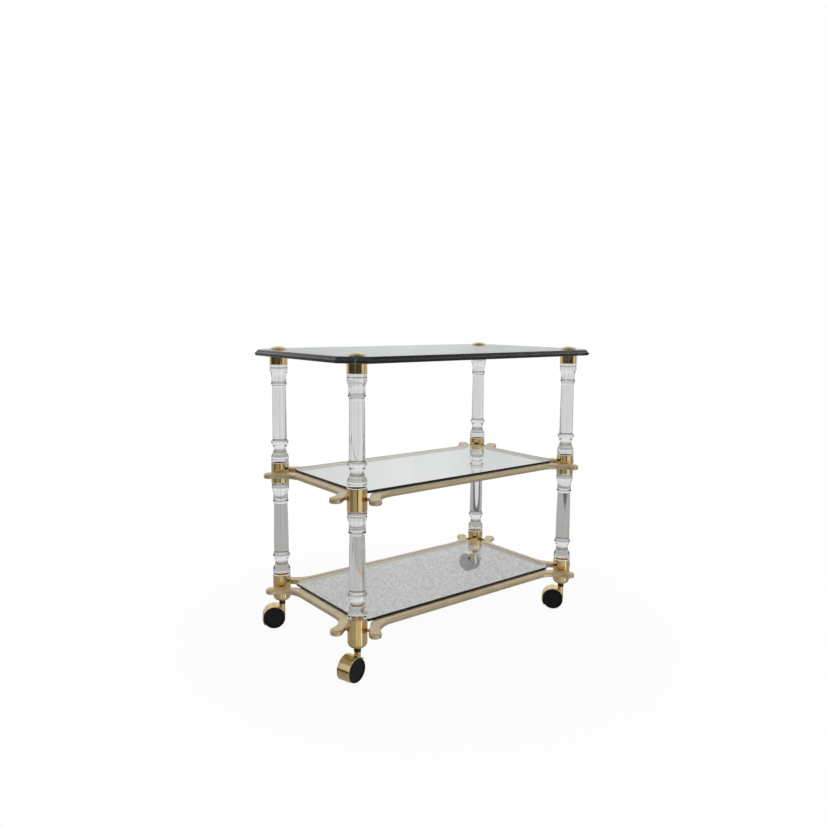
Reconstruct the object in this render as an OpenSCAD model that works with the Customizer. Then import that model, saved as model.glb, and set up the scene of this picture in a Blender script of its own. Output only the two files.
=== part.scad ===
// Three-tier bar cart: clear acrylic posts, brass collars and shelf bars, glass shelves
// and four twin-wheel casters. Millimetres, floor at Z = 0, long side along X.

/* [Frame] */
// Distance between the post axes along the cart
post_span_x = 680; // [560:10:800]
// Distance between the post axes across the cart
post_span_y = 353; // [300:1:460]
// Radius of the brass collars and foot cups
collar_r = 22.4; // [21:0.1:24]

/* [Stack from the floor up] */
// Height of the foot cups' undersides above the floor
foot_bottom_z = 72; // [70:0.5:80]
// Height of a foot cup
foot_cup_h = 69; // [62:0.5:80]
// Visible length of a lower post
lower_post_h = 243; // [180:1:320]
// Height of a middle collar
mid_collar_h = 51.5; // [46:0.5:60]
// Visible length of an upper post
upper_post_h = 248; // [180:1:320]
// Height of a top collar
top_collar_h = 22.5; // [20:0.5:30]
// Thickness of the clear washers above and below the glass top
washer_t = 1; // [0.6:0.1:2]
// Thickness of the glass top
top_glass_t = 14.5; // [10:0.5:20]
// Height of the domed caps
cap_h = 6; // [4:0.5:9]

/* [Glass top] */
// How far the glass top reaches past the post axes at the ends
top_overhang_x = 60; // [45:1:90]
// How far the glass top reaches past the post axes at the sides
top_overhang_y = 62; // [45:1:90]
// Length of the cut at each corner, along one side
top_clip = 51; // [30:1:80]
// How far the top face is set in from the widest edge
top_bevel_in = 8.6; // [4:0.2:14]

/* [Shelf bars] */
// Width of a bar
bar_w = 26; // [24:0.5:28]
// Height of a bar
bar_h = 12; // [10:0.5:14]
// How far the long bars lie inside the line between their posts
long_bar_inset = 7; // [5:0.5:14]
// How far the short bars lie inside the line between their posts
short_bar_inset = 13; // [5:0.5:14]
// Height of the lower bars' top faces above the floor
lower_bar_top_z = 115.5; // [110:0.5:120]
// Height of the middle bars' top faces above the floor
mid_bar_top_z = 414.5; // [410:0.5:420]

/* [Bar ends] */
// Angle that each bar end turns outward
ear_turn = 51; // [48:1:54]
// Radius of that turn on the side towards the post
ear_inner_r = 41; // [38:1:44]
// Radius of the hollow on the outer side, between bar and rounded end
ear_hollow_r = 62; // [56:1:68]
// Radius of the rounded end
ear_lobe_r = 14.5; // [13:0.5:15]
// Distance of a long bar's rounded end outside its post line, to the middle of the rounding
long_ear_out = 43; // [42:0.5:45]
// Distance of a short bar's rounded end outside its post line
short_ear_out = 41; // [40:0.5:43]
// Distance of a long bar's rounded end short of the post axis
long_ear_back = 18.5; // [17:0.5:20]
// Distance of a short bar's rounded end short of the post axis
short_ear_back = 22; // [20.5:0.5:23.5]
// Radius of the pins between the bar ends and the collars
pin_r = 3.5; // [2:0.1:4]

/* [Shelf glass] */
// Thickness of the shelf glass
shelf_glass_t = 6.5; // [5:0.5:9]
// Depth of the ledge that holds the glass, below the bar's top face
ledge_depth = 2; // [1.5:0.1:4]
// Width of that ledge
ledge_w = 4; // [3:0.5:6]
// Length of the cut at each corner of the shelf glass, along one side
shelf_clip = 20; // [16:1:30]

/* [Casters] */
// Wheel radius
wheel_r = 27.5; // [25:0.5:28]
// Width of one wheel
wheel_w = 14.4; // [12:0.2:16]
// Distance of the axle behind the swivel axis
trail = 20.5; // [18:0.5:22]
// Outer radius of the brass hood
hood_r = 30.5; // [30:0.1:31]
// Width of the hood
hood_w = 35; // [32:0.5:37]
// Radius of the black neck ring
neck_r = 8.2; // [7:0.1:9]
// Direction in which the front left caster trails, in degrees
front_left_swivel = -163.7; // [-180:0.1:180]
// Direction in which the back left caster trails
back_left_swivel = 152.3; // [-180:0.1:180]
// Direction in which the back right caster trails
back_right_swivel = 98.2; // [-180:0.1:180]
// Direction in which the front right caster trails
front_right_swivel = 130.8; // [-180:0.1:180]

/* [Hidden] */
$fn = 96;

// Fits
run_gap = 0.05;        // radial clearance of every shaft and pin in its hole
face_gap = 0.6;        // side clearance between a wheel and the hood's web
pocket_gap = 0.3;      // clearance round the shelf glass in its ledge
through = 1;           // how far a cutting tool passes the face it cuts

// Levels
foot_top_z = foot_bottom_z + foot_cup_h;
mid_collar_z = foot_top_z + lower_post_h;
mid_collar_top_z = mid_collar_z + mid_collar_h;
top_collar_z = mid_collar_top_z + upper_post_h;
top_collar_top_z = top_collar_z + top_collar_h;
glass_z = top_collar_top_z + washer_t;
glass_top_z = glass_z + top_glass_t;
cap_z = glass_top_z + washer_t;

// Posts and what joins them
tenon_r = 14;
tenon_h = 9;
stud_r = 4;
stud_hole_depth = 13;
glass_hole_r = 5.5;
washer_r = 15;
cap_r = 21;
cap_rim_h = 1.2;
collar_edge = 0.8;
foot_edge_r = 12;

// Bar ends and pins
pin_root_r = 13;       // the pins start this far from the post axis
pin_tip = 39;          // and end this far from it

// Shelf glass outline
shelf_half_x = post_span_x / 2 - short_bar_inset - bar_w / 2 + ledge_w;
shelf_half_y = post_span_y / 2 - long_bar_inset - bar_w / 2 + ledge_w;

// Casters
axle_z = wheel_r;
axle_r = 3;
axle_half = 15;        // half the axle's length
web_t = 7;             // web between the two wheels
web_r = 11;            // boss round the axle
well_gap = 0.8;        // clearance between tread and hood
hood_from = -38;       // lower edge of the hood behind the wheels, in degrees
hood_to = 138;         // its upper edge, past the swivel axis
boss_r = 7.5;          // upright boss that holds the stem
boss_lap = 1;          // how far the web reaches past the boss's middle
web_drop = 4;          // the web's top lies this far below the boss's top
swivel_gap = 0.5;      // between the neck ring and the foot cup
neck_z = 60.5;
neck_h = foot_bottom_z - swivel_gap - neck_z;
spigot_r = 2.4;
spigot_z = 42;
sleeve_r = 8;
sleeve_h = 42;
stem_r = 4;
stem_top_z = foot_bottom_z + sleeve_h - 4;

CORNERS = ["front_left", "back_left", "back_right", "front_right"];
CORNER_SIGNS = [[-1, -1], [-1, 1], [1, 1], [1, -1]];
SWIVELS = [front_left_swivel, back_left_swivel, back_right_swivel, front_right_swivel];
SIDES = ["back", "left", "front", "right"];
WHEEL_SIDES = ["left", "right"];
CORNER_PARTS = ["cap", "top_collar", "upper_post", "mid_collar", "lower_post", "foot_cup",
                "hood", "stem", "axle"];
TIERS = ["lower", "mid"];

// ---- helpers ------------------------------------------------------------------

// Rectangle with its corners cut at 45 degrees, set in by a margin on every side
function clipped_rectangle(half_x, half_y, clip, margin = 0) =
    let (x = half_x - margin,
         y = half_y - margin,
         c = clip - margin * (2 - sqrt(2)))
    [[x, -y + c], [x, y - c], [x - c, y], [-x + c, y],
     [-x, y - c], [-x, -y + c], [-x + c, -y], [x - c, -y]];

// Rounded swelling on a turned profile, from height z0 to z1
function bead(z0, z1, r, rise, steps = 6) =
    [for (i = [0:steps]) [r + rise * sin(180 * i / steps), z0 + (z1 - z0) * i / steps]];

// Hollow curve between two points of a turned profile
function cove(z0, r0, z1, r1, dip, steps = 6) =
    [for (i = [0:steps]) [r0 + (r1 - r0) * i / steps - dip * sin(180 * i / steps),
                          z0 + (z1 - z0) * i / steps]];

// Points of an arc
function arc(centre, r, a0, a1, steps = 6) =
    [for (i = [0:steps]) centre + r * [cos(a0 + (a1 - a0) * i / steps),
                                       sin(a0 + (a1 - a0) * i / steps)]];

// A profile measured down from a height, listed from its lower end up
function hang(profile, z) =
    [for (i = [len(profile) - 1:-1:0]) [profile[i][0], z - profile[i][1]]];

// Place children at a post
module at_post(i) {
    translate([CORNER_SIGNS[i][0] * post_span_x / 2, CORNER_SIGNS[i][1] * post_span_y / 2, 0])
        children();
}

// Place children in a caster's own frame: swivel axis at the origin, wheels trailing to +X
module at_caster(i) {
    at_post(i) rotate([0, 0, SWIVELS[i]]) children();
}

// Cylinder along the caster's axle direction, from y0 to y1
module across(r, y0, y1) {
    translate([0, y1, 0]) rotate([90, 0, 0]) cylinder(r = r, h = y1 - y0);
}

// ---- glass --------------------------------------------------------------------

// One layer of the glass top: its edge slopes from one inset to another
module glass_layer(z0, in0, z1, in1) {
    half_x = post_span_x / 2 + top_overhang_x;
    half_y = post_span_y / 2 + top_overhang_y;
    sliver = 0.01;
    hull() {
        translate([0, 0, z0]) linear_extrude(sliver)
            polygon(clipped_rectangle(half_x, half_y, top_clip, in0));
        translate([0, 0, z1 - sliver]) linear_extrude(sliver)
            polygon(clipped_rectangle(half_x, half_y, top_clip, in1));
    }
}

module glass_top() {
    half_x = post_span_x / 2 + top_overhang_x;
    half_y = post_span_y / 2 + top_overhang_y;
    under_in = 3;          // inset of the underside
    lip_h = 4;             // the edge slopes out to its widest over this height
    waist_h = 8;           // and steps in again above this height
    step_in = 1.5;         // depth of that step
    color("lightcyan", 0.5)
    difference() {
        union() {
            glass_layer(glass_z, under_in, glass_z + lip_h, 0);
            translate([0, 0, glass_z + lip_h]) linear_extrude(waist_h - lip_h)
                polygon(clipped_rectangle(half_x, half_y, top_clip));
            glass_layer(glass_z + waist_h, step_in, glass_top_z, top_bevel_in);
        }
        for (i = [0:3]) at_post(i)
            translate([0, 0, glass_z - through]) cylinder(r = glass_hole_r, h = top_glass_t + 2 * through);
    }
}

module shelf_glass(bar_top_z) {
    color("lightcyan", 0.4)
    translate([0, 0, bar_top_z - ledge_depth]) linear_extrude(shelf_glass_t)
        polygon(clipped_rectangle(shelf_half_x, shelf_half_y, shelf_clip));
}

// ---- posts --------------------------------------------------------------------

// Turning at the upper end of a post, radius against distance below the collar
POST_HEAD = concat(
    [[21.6, 0], [21.8, 8.5]],
    bead(9, 19, 20.6, 1.6),
    cove(19.5, 20.4, 45, 18.8, 1.2),
    bead(45.5, 50.5, 18, 1.9),
    [[17.4, 53]]
);

// Turning at the lower end of a post, radius against height above the collar
POST_FOOT = concat(
    [[22, 0], [22, 9.5]],
    bead(10, 19, 20.6, 1.4),
    cove(19.5, 20.4, 46.5, 19.6, 4.4),
    bead(47, 56, 20, 1.8)
);

module turned_post(h, shaft_top_r, shaft_bottom_r, belly) {
    head_h = POST_HEAD[len(POST_HEAD) - 1][1];
    foot_h = POST_FOOT[len(POST_FOOT) - 1][1];
    shaft = cove(foot_h + 1, shaft_bottom_r, h - head_h - 1, shaft_top_r, -belly, 8);
    color("gainsboro", 0.5)
    rotate_extrude()
        polygon(concat([[0, 0]], POST_FOOT, shaft, hang(POST_HEAD, h), [[0, h]]));
    color("gainsboro", 0.5) translate([0, 0, -tenon_h]) cylinder(r = tenon_r, h = tenon_h + through);
    color("gainsboro", 0.5) translate([0, 0, h - through]) cylinder(r = tenon_r, h = tenon_h + through);
}

module upper_post(i) {
    at_post(i) translate([0, 0, mid_collar_top_z]) turned_post(upper_post_h, 17, 18, 0);
}

module lower_post(i) {
    at_post(i) translate([0, 0, foot_top_z]) turned_post(lower_post_h, 16.8, 18.6, 0.6);
}

// ---- brass fittings on the posts ----------------------------------------------

// Brass barrel with small chamfers at both ends
module barrel(z, h) {
    translate([0, 0, z]) rotate_extrude()
        polygon([[0, 0], [collar_r - collar_edge, 0], [collar_r, collar_edge],
                 [collar_r, h - collar_edge], [collar_r - collar_edge, h], [0, h]]);
}

// Socket for a post's tenon, opening at height z upward (dir 1) or downward (dir -1)
module tenon_socket(z, dir) {
    cut_h = tenon_h + run_gap + through;
    translate([0, 0, dir > 0 ? z - tenon_h - run_gap : z - through])
        cylinder(r = tenon_r + run_gap, h = cut_h);
}

// Directions in which the two bar pins leave a corner's collar, each square to the inner face
// of a bar end
function pin_angles(i) =
    let (sx = CORNER_SIGNS[i][0], sy = CORNER_SIGNS[i][1])
    [atan2(sy * cos(ear_turn), -sx * sin(ear_turn)),
     atan2(-sy * sin(ear_turn), sx * cos(ear_turn))];

// The two pins of a corner at one tier
module corner_pins(i, bar_top_z, grow = 0) {
    for (a = pin_angles(i)) rotate([0, 0, a])
        translate([pin_root_r, 0, bar_top_z - bar_h / 2]) rotate([0, 90, 0])
            cylinder(r = pin_r + grow, h = pin_tip - pin_root_r + grow);
}

module cap(i) {
    dome_r = (pow(cap_r, 2) + pow(cap_h - cap_rim_h, 2)) / (2 * (cap_h - cap_rim_h));
    edge_angle = asin(cap_r / dome_r);
    color("goldenrod") at_post(i) {
        translate([0, 0, cap_z]) rotate_extrude()
            polygon(concat([[0, 0], [cap_r, 0]],
                           arc([0, cap_h - dome_r], dome_r, 90 - edge_angle, 90, 8)));
        stud_z = top_collar_top_z - stud_hole_depth + through;
        translate([0, 0, stud_z]) cylinder(r = stud_r, h = cap_z + through - stud_z);
    }
}

module top_collar(i) {
    color("darkgoldenrod") at_post(i) difference() {
        barrel(top_collar_z, top_collar_h);
        tenon_socket(top_collar_z, -1);
        translate([0, 0, top_collar_top_z - stud_hole_depth])
            cylinder(r = stud_r + run_gap, h = stud_hole_depth + through);
    }
}

module mid_collar(i) {
    color("darkgoldenrod") at_post(i) difference() {
        barrel(mid_collar_z, mid_collar_h);
        tenon_socket(mid_collar_z, -1);
        tenon_socket(mid_collar_top_z, 1);
        corner_pins(i, mid_bar_top_z, run_gap);
    }
}

module foot_cup(i) {
    color("darkgoldenrod") at_post(i) difference() {
        translate([0, 0, foot_bottom_z]) rotate_extrude()
            polygon(concat([[0, 0]],
                           arc([collar_r - foot_edge_r, foot_edge_r], foot_edge_r, -90, 0, 10),
                           [[collar_r, foot_cup_h - collar_edge],
                            [collar_r - collar_edge, foot_cup_h], [0, foot_cup_h]]));
        tenon_socket(foot_top_z, 1);
        translate([0, 0, foot_bottom_z - through])
            cylinder(r = sleeve_r + run_gap, h = sleeve_h + run_gap + through);
        corner_pins(i, lower_bar_top_z, run_gap);
    }
}

module glass_washers() {
    color("white", 0.5) for (i = [0:3]) at_post(i) for (z = [top_collar_top_z, glass_top_z])
        translate([0, 0, z]) difference() {
            cylinder(r = washer_r, h = washer_t);
            translate([0, 0, -through]) cylinder(r = stud_r + run_gap, h = washer_t + 2 * through);
        }
}

module bar_pins() {
    color("goldenrod") for (i = [0:3]) at_post(i) for (z = [lower_bar_top_z, mid_bar_top_z])
        corner_pins(i, z);
}

module caster_sockets() {
    color("dimgray") for (i = [0:3]) at_post(i) translate([0, 0, foot_bottom_z]) difference() {
        cylinder(r = sleeve_r, h = sleeve_h);
        translate([0, 0, -through]) cylinder(r = stem_r + run_gap, h = sleeve_h + 2 * through);
    }
}

// ---- shelf bars ---------------------------------------------------------------

// Half of a bar's outline: X along the bar from its middle, Y outward from the post line.
// The bar runs straight, turns outward short of the collar and ends in a rounded lobe.
function bar_half_outline(half_span, inset, lobe) =
    let (inner_y = -inset - bar_w / 2,
         outer_y = -inset + bar_w / 2,
         inward = [sin(ear_turn), -cos(ear_turn)],
         touch = lobe + ear_lobe_r * inward,
         turn_end_y = inner_y + ear_inner_r * (1 - cos(ear_turn)),
         turn_end_x = touch[0] - (touch[1] - turn_end_y) / tan(ear_turn),
         inner_centre = [turn_end_x - ear_inner_r * sin(ear_turn), inner_y + ear_inner_r],
         reach = ear_hollow_r + ear_lobe_r,
         rise = outer_y + ear_hollow_r - lobe[1],
         hollow_centre = [lobe[0] - sqrt(reach * reach - rise * rise), outer_y + ear_hollow_r],
         hollow_from = asin(-rise / reach),
         hollow_steps = 10,
         hollow_step = (hollow_from + 90) / (hollow_steps + 1))
    concat(
        arc(inner_centre, ear_inner_r, -90, ear_turn - 90, 8),
        arc(lobe, ear_lobe_r, ear_turn - 90, 180 + hollow_from, 14),
        arc(hollow_centre, ear_hollow_r, hollow_from - hollow_step, -90, hollow_steps)
    );

function bar_outline(half_span, inset, lobe) =
    let (half = bar_half_outline(half_span, inset, lobe))
    concat(half, [for (i = [len(half) - 1:-1:0]) [-half[i][0], half[i][1]]]);

// A bar on one side of a tier: 0 back, 1 left, 2 front, 3 right
module shelf_bar(side, bar_top_z) {
    is_long = side % 2 == 0;
    half_span = (is_long ? post_span_x : post_span_y) / 2;
    reach = (is_long ? post_span_y : post_span_x) / 2;
    inset = is_long ? long_bar_inset : short_bar_inset;
    lobe = is_long ? [half_span - long_ear_back, long_ear_out]
                   : [half_span - short_ear_back, short_ear_out];
    color("tan") difference() {
        rotate([0, 0, 90 * side]) translate([0, reach, bar_top_z - bar_h])
            linear_extrude(bar_h) polygon(bar_outline(half_span, inset, lobe));
        translate([0, 0, bar_top_z - ledge_depth]) linear_extrude(ledge_depth + through)
            polygon(clipped_rectangle(shelf_half_x, shelf_half_y, shelf_clip, -pocket_gap));
        for (i = [0:3]) at_post(i) corner_pins(i, bar_top_z, run_gap);
    }
}

// ---- casters ------------------------------------------------------------------

// Everything in front of the hood, cut away between its two edges
module hood_wedge() {
    far = 60;
    steps = 6;
    open_angle = 360 - hood_to + hood_from;
    rotate([90, 0, 0]) linear_extrude(2 * far, center = true)
        polygon(concat([[0, 0]], arc([0, 0], far, hood_to, hood_to + open_angle, steps)));
}

module hood(i) {
    color("goldenrod") at_caster(i) difference() {
        union() {
            translate([trail, 0, axle_z]) difference() {
                across(hood_r, -hood_w / 2, hood_w / 2);
                hood_wedge();
            }
            translate([trail, 0, axle_z]) across(web_r, -web_t / 2, web_t / 2);
            translate([-web_t / 2 - boss_lap, -web_t / 2, axle_z])
                cube([trail, web_t, neck_z - axle_z - web_drop]);
            translate([0, 0, axle_z]) cylinder(r = boss_r, h = neck_z - axle_z);
        }
        for (s = [-1, 1]) translate([trail, s * (web_t + hood_w) / 2, axle_z])
            across(wheel_r + well_gap, -hood_w / 2, hood_w / 2);
        translate([trail, 0, axle_z]) across(axle_r + run_gap, -web_t, web_t);
        translate([0, 0, spigot_z - run_gap])
            cylinder(r = spigot_r + run_gap, h = neck_z - spigot_z + through);
    }
}

module stem(i) {
    color("black") at_caster(i) {
        translate([0, 0, spigot_z]) cylinder(r = spigot_r, h = neck_z - spigot_z + through);
        translate([0, 0, neck_z]) cylinder(r = neck_r, h = neck_h);
        translate([0, 0, neck_z + through]) cylinder(r = stem_r, h = stem_top_z - neck_z - through);
    }
}

module axle(i) {
    color("silver") at_caster(i) translate([trail, 0, axle_z]) across(axle_r, -axle_half, axle_half);
}

// Wheel on the caster's left or right as it rolls stem first: rounded tread, dished outer
// face, blind hole for the axle in the inner face
module wheel(side, i) {
    tread_edge_r = 3;
    dish_r = 21;
    dish_depth = 1.6;
    hole_depth = axle_half - web_t / 2 - face_gap + run_gap;
    out = side == "right" ? 1 : -1;
    color("black") at_caster(i) translate([trail, 0, axle_z])
        rotate([-90 * out, 0, 0]) translate([0, 0, web_t / 2 + face_gap]) difference() {
            rotate_extrude()
                polygon(concat([[0, 0]],
                               arc([wheel_r - tread_edge_r, tread_edge_r], tread_edge_r, -90, 0, 4),
                               arc([wheel_r - tread_edge_r, wheel_w - tread_edge_r], tread_edge_r,
                                   0, 90, 4),
                               [[dish_r + 1, wheel_w], [dish_r, wheel_w - dish_depth],
                                [0, wheel_w - dish_depth]]));
            translate([0, 0, -through]) cylinder(r = axle_r + run_gap, h = hole_depth + through);
        }
}

// ---- drawing ------------------------------------------------------------------

glass_top();
shelf_glass(mid_bar_top_z);  // mid_shelf_glass
shelf_glass(lower_bar_top_z);  // lower_shelf_glass
glass_washers();
bar_pins();
caster_sockets();
for (i = [0:3]) {
    cap(i);
    top_collar(i);
    upper_post(i);
    mid_collar(i);
    lower_post(i);
    foot_cup(i);
    hood(i);
    stem(i);
    axle(i);
    for (side = WHEEL_SIDES)
        wheel(side, i);
}
for (side = [0:3]) {
    shelf_bar(side, lower_bar_top_z);
    shelf_bar(side, mid_bar_top_z);
}
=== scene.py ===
"""Bar cart on wheels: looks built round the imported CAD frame. Lengths are millimetres until
a mesh is made, and metres from there on."""

import math

import bmesh
import bpy
from mathutils import Matrix, Vector


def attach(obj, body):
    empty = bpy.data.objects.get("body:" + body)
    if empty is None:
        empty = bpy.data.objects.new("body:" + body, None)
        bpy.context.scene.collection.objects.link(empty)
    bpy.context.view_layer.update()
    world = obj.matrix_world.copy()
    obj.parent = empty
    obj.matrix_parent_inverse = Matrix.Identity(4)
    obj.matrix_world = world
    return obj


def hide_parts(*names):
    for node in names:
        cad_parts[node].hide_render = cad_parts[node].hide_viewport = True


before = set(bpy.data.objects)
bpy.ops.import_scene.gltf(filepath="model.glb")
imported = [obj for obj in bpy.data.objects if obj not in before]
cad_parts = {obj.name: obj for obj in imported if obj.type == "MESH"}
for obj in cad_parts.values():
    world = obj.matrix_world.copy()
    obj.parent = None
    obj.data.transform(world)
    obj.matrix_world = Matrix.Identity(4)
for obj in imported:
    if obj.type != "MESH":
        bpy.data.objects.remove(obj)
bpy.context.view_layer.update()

MM = 0.001
TURN = 2 * math.pi
SEGMENTS = 128

# ---- dimensions, as in the CAD part ------------------------------------------------
SPAN_X = 680
SPAN_Y = 353
COLLAR_R = 22.4
WASHER_T = 1
TOP_GLASS_T = 14.5
CAP_H = 6
CAP_R = 21
CAP_RIM_H = 1.2

FOOT_Z = 72
FOOT_H = 69
LOWER_POST_H = 243
MID_COLLAR_H = 51.5
UPPER_POST_H = 248
TOP_COLLAR_H = 22.5
FOOT_TOP_Z = FOOT_Z + FOOT_H
MID_COLLAR_Z = FOOT_TOP_Z + LOWER_POST_H
MID_COLLAR_TOP_Z = MID_COLLAR_Z + MID_COLLAR_H
TOP_COLLAR_Z = MID_COLLAR_TOP_Z + UPPER_POST_H
TOP_COLLAR_TOP_Z = TOP_COLLAR_Z + TOP_COLLAR_H
GLASS_Z = TOP_COLLAR_TOP_Z + WASHER_T
GLASS_TOP_Z = GLASS_Z + TOP_GLASS_T
CAP_Z = GLASS_TOP_Z + WASHER_T

TENON_R = 14
TENON_H = 9
STUD_R = 4
STUD_HOLE_DEPTH = 13
GLASS_HOLE_R = 5.5
WASHER_R = 15

TOP_OVERHANG_X = 60
TOP_OVERHANG_Y = 62
TOP_CLIP = 51

BAR_W = 26
BAR_H = 12
LONG_INSET = 7
SHORT_INSET = 13
BAR_TOPS = {"lower": 115.5, "mid": 414.5}
EAR_TURN_DEG = 51
EAR_TURN = math.radians(EAR_TURN_DEG)
EAR_INNER_R = 41
EAR_HOLLOW_R = 62
EAR_LOBE_R = 14.5
LONG_EAR = (18.5, 43)
SHORT_EAR = (22, 41)
PIN_R = 3.5
PIN_TIP = 39

SHELF_T = 6.5
LEDGE_DEPTH = 2
LEDGE_W = 4
SHELF_CLIP = 20
POCKET_GAP = 0.3
SHELF_HALF_X = SPAN_X / 2 - SHORT_INSET - BAR_W / 2 + LEDGE_W
SHELF_HALF_Y = SPAN_Y / 2 - LONG_INSET - BAR_W / 2 + LEDGE_W

WHEEL_R = 27.5
WHEEL_W = 14.4
TRAIL = 20.5
HOOD_R = 30.5
HOOD_W = 35
HOOD_FROM = math.radians(-38)
HOOD_TO = math.radians(138)
WELL_GAP = 0.8
WEB_T = 7
WEB_R = 11
BOSS_R = 7.5
FACE_GAP = 0.6
NECK_R = 8.2
NECK_Z = 60.5
NECK_H = 11

# Thin air gap between parts that touch, so that clear faces never lie on others
AIR = 0.08
RUN_GAP = 0.05
COLLAR_EDGE = 0.8
FOOT_EDGE_R = 12
SLEEVE_R = 8
SLEEVE_H = 42

CORNERS = {
    "front_left": (-1, -1, -163.7),
    "back_left": (-1, 1, 152.3),
    "back_right": (1, 1, 98.2),
    "front_right": (1, -1, 130.8),
}


# ---- profiles ----------------------------------------------------------------------
def arc(cx, cz, r, a0, a1, steps):
    """Points of an arc, with its angles in degrees."""
    found = []
    for i in range(steps + 1):
        a = math.radians(a0 + (a1 - a0) * i / steps)
        found.append((cx + r * math.cos(a), cz + r * math.sin(a)))
    return found


def bead(z0, z1, r, rise, steps=12):
    """Rounded swelling on a turned profile."""
    return [
        (r + rise * math.sin(math.pi * i / steps), z0 + (z1 - z0) * i / steps)
        for i in range(steps + 1)
    ]


def cove(z0, r0, z1, r1, dip, steps=16):
    """Hollow curve between two points of a turned profile."""
    return [
        (
            r0 + (r1 - r0) * i / steps - dip * math.sin(math.pi * i / steps),
            z0 + (z1 - z0) * i / steps,
        )
        for i in range(steps + 1)
    ]


POST_HEAD = [
    (21.6, 0),
    (21.8, 8.5),
    *bead(9, 19, 20.6, 1.6),
    *cove(19.5, 20.4, 45, 18.8, 1.2),
    *bead(45.5, 50.5, 18, 1.9),
    (17.4, 53),
]
POST_FOOT = [
    (22, 0),
    (22, 9.5),
    *bead(10, 19, 20.6, 1.4),
    *cove(19.5, 20.4, 46.5, 19.6, 4.4),
    *bead(47, 56, 20, 1.8),
]


def post_profile(height, top_r, bottom_r, belly):
    """A turned post with its tenons, from its lower end up."""
    foot_h = POST_FOOT[-1][1]
    head_h = POST_HEAD[-1][1]
    shaft = cove(foot_h + 1, bottom_r, height - head_h - 1, top_r, -belly, 24)
    head = [(r, height - AIR - z) for r, z in reversed(POST_HEAD)]
    foot = [(r, z + AIR) for r, z in POST_FOOT]
    return [
        (0, AIR - TENON_H),
        (TENON_R, AIR - TENON_H),
        (TENON_R, AIR),
        *foot,
        *shaft,
        *head,
        (TENON_R, height - AIR),
        (TENON_R, height - AIR + TENON_H),
        (0, height - AIR + TENON_H),
    ]


# A ring this far from a rounded edge keeps the face beyond it truly flat when shaded smooth
FLAT_FROM = 0.4


def rounded(r, z0, z1, edge, steps=6):
    """Outside of a barrel with both edges rounded."""
    return [
        *arc(r - edge, z0 + edge, edge, -90, 0, steps),
        (r, z0 + edge + FLAT_FROM), (r, z1 - edge - FLAT_FROM),
        *arc(r - edge, z1 - edge, edge, 0, 90, steps),
    ]


# ---- meshes ------------------------------------------------------------------------
def to_mesh(bm, name, sharp_deg=32):
    """A closed mesh in metres, smooth but for its sharp edges."""
    bmesh.ops.remove_doubles(bm, verts=bm.verts, dist=0.0005)
    bmesh.ops.recalc_face_normals(bm, faces=bm.faces)
    bmesh.ops.scale(bm, vec=(MM, MM, MM), verts=bm.verts)
    mesh = bpy.data.meshes.new(name)
    bm.to_mesh(mesh)
    bm.free()
    mesh.shade_smooth()
    mesh.set_sharp_from_angle(angle=math.radians(sharp_deg))
    return mesh


def revolve(bm, profile, ring=False):
    """Turns a profile round Z. A ring's profile is closed; any other begins and ends on the
    axis."""
    columns = []
    for s in range(SEGMENTS):
        a = TURN * s / SEGMENTS
        columns.append([(r * math.cos(a), r * math.sin(a), z) for r, z in profile])
    poles = {}
    rows = []
    for column in columns:
        row = []
        for i, place in enumerate(column):
            if profile[i][0] < 1e-6:
                if i not in poles:
                    poles[i] = bm.verts.new(place)
                row.append(poles[i])
            else:
                row.append(bm.verts.new(place))
        rows.append(row)
    count = len(profile)
    spans = range(count if ring else count - 1)
    for s in range(SEGMENTS):
        here, after = rows[s], rows[(s + 1) % SEGMENTS]
        for i in spans:
            j = (i + 1) % count
            corners = []
            for v in (here[i], after[i], after[j], here[j]):
                if v not in corners:
                    corners.append(v)
            if len(corners) > 2:
                bm.faces.new(corners)


def lathe(name, *profiles, ring=False):
    bm = bmesh.new()
    for profile in profiles:
        revolve(bm, profile, ring)
    return to_mesh(bm, name)


def clipped_outline(half_x, half_y, clip, margin=0.0, corner_r=0.0, steps=6):
    """Rectangle with cut corners, set in by a margin, its vertices rounded."""
    x, y = half_x - margin, half_y - margin
    c = clip - margin * (2 - math.sqrt(2))
    points = [
        (x, -y + c), (x, y - c), (x - c, y), (-x + c, y),
        (-x, y - c), (-x, -y + c), (-x + c, -y), (x - c, -y),
    ]
    if corner_r <= 0:
        return points
    bend = TURN / 8
    reach = corner_r * math.tan(bend / 2)
    found = []
    for i, point in enumerate(points):
        here = Vector(point)
        back = (Vector(points[i - 1]) - here).normalized()
        ahead = (Vector(points[(i + 1) % 8]) - here).normalized()
        inward = (back + ahead).normalized()
        centre = here + inward * corner_r / math.cos(bend / 2)
        start = here + back * reach - centre
        for s in range(steps + 1):
            spoke = Matrix.Rotation(bend * s / steps, 2) @ start
            found.append(tuple(centre + spoke))
    return found


def set_in(outline, distance):
    """An outline listed anticlockwise, moved inward by a small distance."""
    found = []
    count = len(outline)
    for i, point in enumerate(outline):
        before = Vector(point) - Vector(outline[i - 1])
        after = Vector(outline[(i + 1) % count]) - Vector(point)
        side = before.normalized() + after.normalized()
        normal = Vector((-side.y, side.x)).normalized()
        lean = max(0.5, normal.dot(Vector((-before.y, before.x)).normalized()))
        found.append(tuple(Vector(point) + normal * distance / lean))
    return found


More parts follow.
